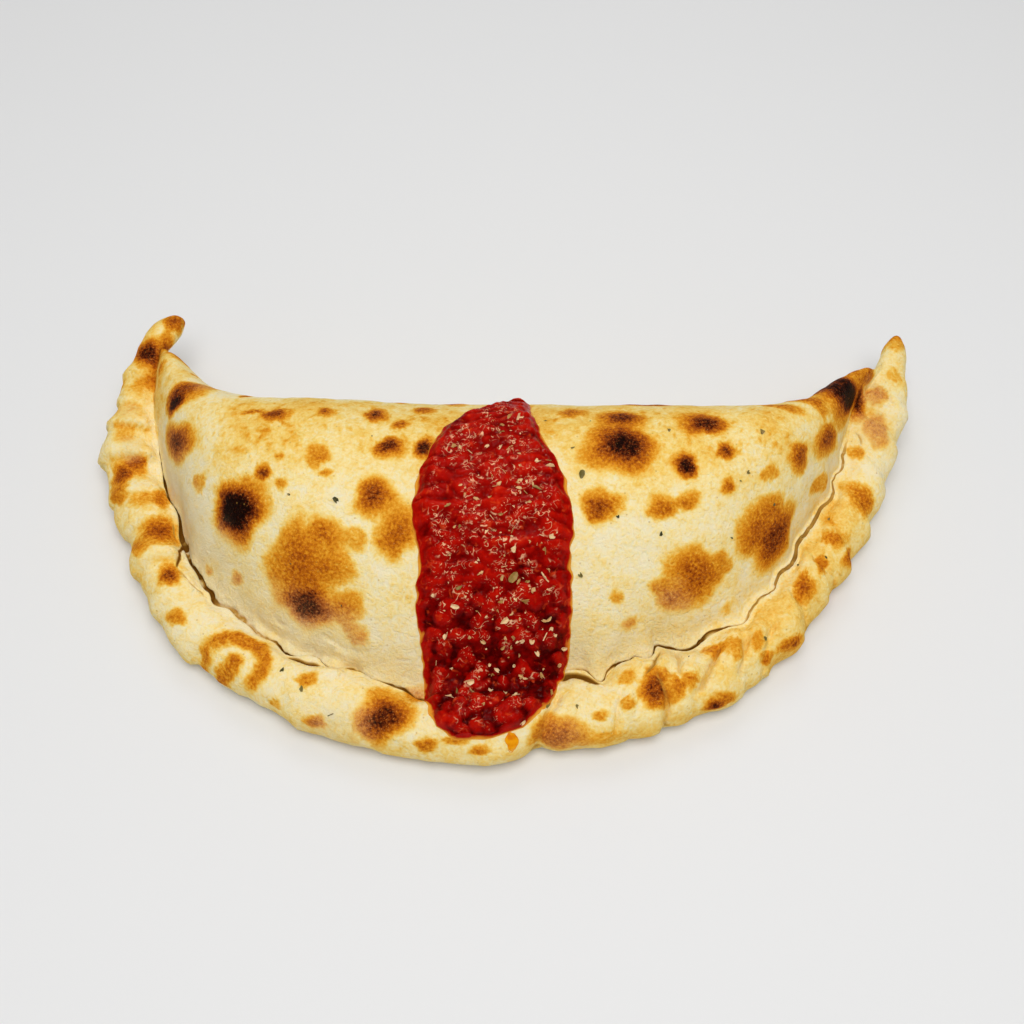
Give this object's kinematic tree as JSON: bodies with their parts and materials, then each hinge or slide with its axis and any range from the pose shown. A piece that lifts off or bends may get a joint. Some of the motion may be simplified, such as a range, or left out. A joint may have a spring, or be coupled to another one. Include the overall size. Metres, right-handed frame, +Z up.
{
  "type": "calzone",
  "caption": "Baked folded pizza with a sealed rim, two curled horns and a band of tomato sauce over the top.",
  "frame": {"origin": "under the middle of the dough's box, on the surface it rests on", "axes": "+X along the fold, from the left horn to the right horn; -Y from the fold towards the curved sealed rim; +Z up"},
  "size_m": [0.3136, 0.1846, 0.0615],
  "materials": {
    "baked_dough": "matt baked crust, pale with brown blisters",
    "tomato_sauce": "wet, lumpy tomato sauce with herbs"
  },
  "bodies": {
    "root": {"dough": "baked_dough", "tomato_sauce": "tomato_sauce"}
  },
  "joints": []
}
